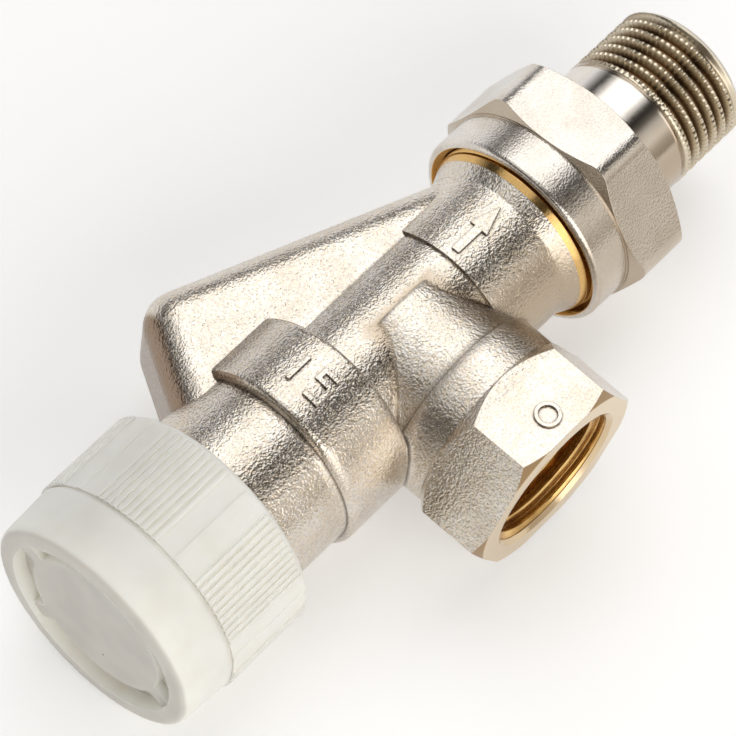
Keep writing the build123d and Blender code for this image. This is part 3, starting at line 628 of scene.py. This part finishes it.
def turned_nickel_tail():
    """Bright turned nickel, with a khaki thread whose roots and far side carry painted shade, and
    painted shade on the shank's flank towards the pipe.
    """
    finish = Finish("turned_nickel_tail")
    brush = finish.noise(0.5, 3.0, finish.stretched((6.0, 0.25, 0.25)))
    cloud = finish.ramp(finish.noise(4.0, 2.0), 0.3, 0.7)
    radius = finish.from_axis("Y", "Z", AXIS_Y)
    threaded = finish.along("X") > tail_high.x - TAIL_THREAD_LENGTH
    root_radius = PIPE_THREAD_RADIUS - PIPE_THREAD_DEPTH
    # Painted shade in the thread's roots, below the crest
    crest = finish.ramp(radius, root_radius, PIPE_THREAD_RADIUS - CREST_TONE_DEPTH)
    thread = finish.mix(crest, THREAD_PAINTED_SHADE, THREAD_KHAKI)
    # Painted shade on the thread's side that faces +Y
    far_side_shade = finish.ramp(finish.facing("Y"), 0.1, 0.8)
    thread = finish.mix(0.75 * far_side_shade, thread, THREAD_PAINTED_SHADE)
    bore = radius < TAIL_BRASS_RADIUS
    shank = finish.mix(0.5 * cloud, NICKEL, NICKEL_SHADE)
    # Painted shade on the flank towards the pipe
    shank = finish.mix(0.9 * finish.flank(), shank, NICKEL_PAINTED_SHADE)
    outside = finish.mix(threaded, shank, thread)
    finish.set(
        base_color=finish.mix(bore, outside, BRASS),
        metallic=1.0,
        roughness=0.08 + 0.1 * brush + 0.1 * threaded,
        normal=finish.bump(brush, 0.012),
    )
    return finish


def socket_brass():
    """Freshly cut brass in the pipe socket, with painted shade in the roots of its thread."""
    finish = Finish("socket_brass")
    cuts = finish.noise(0.5, 3.0, finish.stretched((0.4, 4.0, 0.4)))
    stain = finish.ramp(finish.noise(3.0, 3.0), 0.35, 0.7)
    radius = finish.from_axis("X", "Z")
    # Painted shade in the roots of the socket's thread
    root_shade = finish.ramp(radius, PIPE_THREAD_RADIUS - SOCKET_TONE_DEPTH, PIPE_THREAD_RADIUS)
    golden = finish.mix(stain, BRASS, BRASS_DEEP)
    finish.set(
        base_color=finish.mix(0.6 * root_shade, golden, BRASS_DEEP),
        metallic=1.0,
        roughness=0.2 + 0.15 * cuts,
        normal=finish.bump(cuts, 0.015),
    )
    return finish


def moulded_cap():
    """Off-white moulded plastic with a fine spark-eroded texture, a few dark specks and painted shade on
    its front.
    """
    finish = Finish("moulded_cap")
    texture = finish.noise(0.25, 2.0)
    cloud = finish.ramp(finish.noise(7.0, 2.0), 0.3, 0.75)
    specks = finish.specks(9.0, 0.022)
    # Painted shade on the front, which faces away from the softbox
    front_shade = finish.ramp(0 - finish.facing("X"), 0.5, 0.9)
    plastic = finish.mix(0.25 * cloud + 0.75 * front_shade, CAP_WHITE, CAP_SHADE)
    finish.set(
        base_color=finish.mix(specks, plastic, CAP_SPECK),
        roughness=0.42 + 0.12 * texture,
        subsurface_weight=0.8,
        subsurface_radius=CAP_GLOW_REACH,
        subsurface_scale=CAP_GLOW_DEPTH * MM,
        normal=finish.bump(texture, 0.01),
    )
    return finish


def bare_brass():
    """Turned brass of the pieces inside the valve."""
    finish = Finish("bare_brass")
    cuts = finish.noise(0.4, 3.0, finish.stretched((5.0, 0.5, 0.5)))
    stain = finish.ramp(finish.noise(2.5, 3.0), 0.3, 0.75)
    finish.set(
        base_color=finish.mix(stain, BRASS, BRASS_DEEP),
        metallic=1.0,
        roughness=0.22 + 0.16 * cuts,
        normal=finish.bump(cuts, 0.012),
    )
    return finish


def stainless_steel():
    """Drawn stainless steel of the pin, the spring and the washers."""
    finish = Finish("stainless_steel")
    draw = finish.noise(0.3, 2.0, finish.stretched((1.0, 4.0, 4.0)))
    finish.set(
        base_color=finish.mix(draw, STEEL, STEEL_SHADE),
        metallic=1.0,
        roughness=0.2 + 0.15 * draw,
        normal=finish.bump(draw, 0.008),
    )
    return finish


def seal_rubber():
    """Black rubber of the seals, with a faint grey bloom."""
    finish = Finish("seal_rubber")
    bloom = finish.noise(1.2, 3.0)
    finish.set(
        base_color=finish.mix(bloom, RUBBER_BLACK, RUBBER_BLOOM),
        roughness=0.5 + 0.2 * bloom,
        normal=finish.bump(bloom, 0.02),
    )
    return finish


def dress(piece, finish):
    """Gives a piece one finish all over."""
    piece.data.materials.clear()
    piece.data.materials.append(finish.material)


brass_finish = bare_brass()
steel_finish = stainless_steel()
rubber_finish = seal_rubber()
body_finish = forged_nickel()
nut_finish = satin_nickel_nut()
tail_finish = turned_nickel_tail()
cap_finish = moulded_cap()
node_finishes = {
    "valve_body": body_finish,
    "union_nut": nut_finish,
    "tailpiece": tail_finish,
    "protective_cap": cap_finish,
    "return_spring": steel_finish,
    "pressure_pin": steel_finish,
    "spindle_clip": steel_finish,
    "spring_washer": steel_finish,
    "gland_washer": steel_finish,
    "insert_o_ring": rubber_finish,
    "gland_o_ring": rubber_finish,
    "seal_disc": rubber_finish,
    "tail_gasket": rubber_finish,
}
for name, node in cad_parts.items():
    dress(node, node_finishes.get(name, brass_finish))

dress(make_tailpiece(), tail_finish)
dress(make_socket_thread(), socket_brass())
dress(make_return_spring(), steel_finish)

# Camera
CAMERA_PLACE = (-0.2428, -0.1236, 0.5291)
CAMERA_RIGHT = (0.6673, -0.7396, 0.0884)
CAMERA_DOWN = (-0.6304, -0.6240, -0.4617)
CAMERA_LENS = 225.0
CAMERA_SENSOR = 36.0

camera_data = bpy.data.cameras.new("camera")
camera_data.lens = CAMERA_LENS
camera_data.sensor_width = CAMERA_SENSOR
camera = bpy.data.objects.new("camera", camera_data)
bpy.context.scene.collection.objects.link(camera)
right = Vector(CAMERA_RIGHT).normalized()
down = Vector(CAMERA_DOWN)
down = (down - right * down.dot(right)).normalized()
back = right.cross(-down)
camera.matrix_world = Matrix((right, -down, back)).transposed().to_4x4()
camera.matrix_world.translation = CAMERA_PLACE
bpy.context.scene.camera = camera
bpy.context.scene.view_settings.view_transform = "Standard"

# Floor and light
FLOOR_SIZE = 6.0
WORLD_LIGHT = 1.35

# Light round the main axis, by half turns from the +Y side over the top to the -Y side
STUDIO_BANDS = [
    (0.00, (0.74, 0.74, 0.76)),
    (0.04, (0.70, 0.70, 0.72)),
    (0.10, (0.34, 0.34, 0.35)),
    (0.16, (0.03, 0.03, 0.03)),
    (0.23, (0.05, 0.048, 0.045)),
    (0.28, (0.66, 0.66, 0.65)),
    (0.50, (0.72, 0.72, 0.71)),
    (0.54, (0.10, 0.095, 0.09)),
    (0.63, (0.015, 0.012, 0.010)),
    (0.69, (0.10, 0.09, 0.08)),
    (0.75, (0.50, 0.48, 0.44)),
    (0.84, (0.76, 0.73, 0.68)),
    (0.91, (0.48, 0.45, 0.41)),
    (1.00, (0.34, 0.31, 0.27)),
]
STUDIO_GAP = (0.06, 0.045, 0.03)
FRONT_GAP = (0.45, 0.75)
FRONT_GAP_RISE = (0.08, 0.38)
REAR_GAP = (0.65, 0.9)

# Each lamp's direction from the valve, its side in metres and its power in watts
LAMP_REACH = 1.2
LAMPS = {
    "softbox": ((0.40, 0.30, 0.87), 1.2, 3.5),
    "fill_card": ((-0.35, -0.82, 0.42), 1.3, 7.4),
}
FLOOR_WHITE = (0.90, 0.90, 0.90)
FLOOR_PALE = (0.88, 0.88, 0.88)
FLOOR_GLOW = 0.29
FLOOR_SEGMENTS = 8
PAPER_GRAIN = 40.0
BLACK = (0.0, 0.0, 0.0)
WHITE = (1.0, 1.0, 1.0)

floor_z = min(low.z for low, high in (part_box(name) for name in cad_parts))
floor_mesh = bmesh.new()
bmesh.ops.create_grid(
    floor_mesh, x_segments=FLOOR_SEGMENTS, y_segments=FLOOR_SEGMENTS, size=FLOOR_SIZE / 2
)
floor_data = bpy.data.meshes.new("floor")
floor_mesh.to_mesh(floor_data)
floor_mesh.free()
floor = bpy.data.objects.new("floor", floor_data)
floor.location = (0, AXIS_Y * MM, floor_z)
bpy.context.scene.collection.objects.link(floor)
floor_finish = Finish("floor_paper")
paper = floor_finish.noise(PAPER_GRAIN, 2.0)
seen = floor_finish.node("ShaderNodeLightPath", output="Is Camera Ray")
seen = seen.math("MAXIMUM", seen, floor_finish.node("ShaderNodeLightPath", output="Is Glossy Ray"))
seen = seen.math("MAXIMUM", seen, floor_finish.node("ShaderNodeLightPath", output="Is Transmission Ray"))
floor_finish.set(
    base_color=floor_finish.mix(paper, FLOOR_WHITE, FLOOR_PALE),
    roughness=0.9,
    emission_color=floor_finish.mix(seen, BLACK, WHITE),
    emission_strength=FLOOR_GLOW,
)
dress(floor, floor_finish)

world = bpy.data.worlds.new("studio")
world.use_nodes = True
bpy.context.scene.world = world
world_tree = world.node_tree
background = world_tree.nodes["Background"]
studio = NodeTree(world_tree)
direction = studio.node("ShaderNodeTexCoord", output="Generated")
aside = studio.node("ShaderNodeSeparateXYZ", None, {0: direction}, "Y")
above = studio.node("ShaderNodeSeparateXYZ", None, {0: direction}, "Z")
half_turn = above.math("ARCTAN2", above, aside) / math.pi
bands = studio.node("ShaderNodeValToRGB", {"stops": STUDIO_BANDS}, {"Fac": half_turn})
lengthwise = studio.node("ShaderNodeSeparateXYZ", None, {0: direction}, "X")
front_gap = studio.ramp(0 - lengthwise, *FRONT_GAP) * studio.ramp(above, *FRONT_GAP_RISE)
rear_gap = studio.ramp(lengthwise, *REAR_GAP)
bands = studio.mix(0.9 * front_gap, bands, STUDIO_GAP)
bands = studio.mix(0.55 * rear_gap, bands, STUDIO_GAP)
studio.feed(background.inputs["Color"], bands)
background.inputs["Strength"].default_value = WORLD_LIGHT

for lamp_name, (side, size, power) in LAMPS.items():
    lamp_data = bpy.data.lights.new(lamp_name, "AREA")
    lamp_data.shape = "SQUARE"
    lamp_data.size = size
    lamp_data.energy = power
    lamp = bpy.data.objects.new(lamp_name, lamp_data)
    lamp_direction = Vector(side).normalized()
    lamp.location = Vector((0, AXIS_Y * MM, 0)) + lamp_direction * LAMP_REACH
    lamp.rotation_euler = lamp_direction.to_track_quat("Z", "Y").to_euler()
    bpy.context.scene.collection.objects.link(lamp)

bpy.context.view_layer.update()
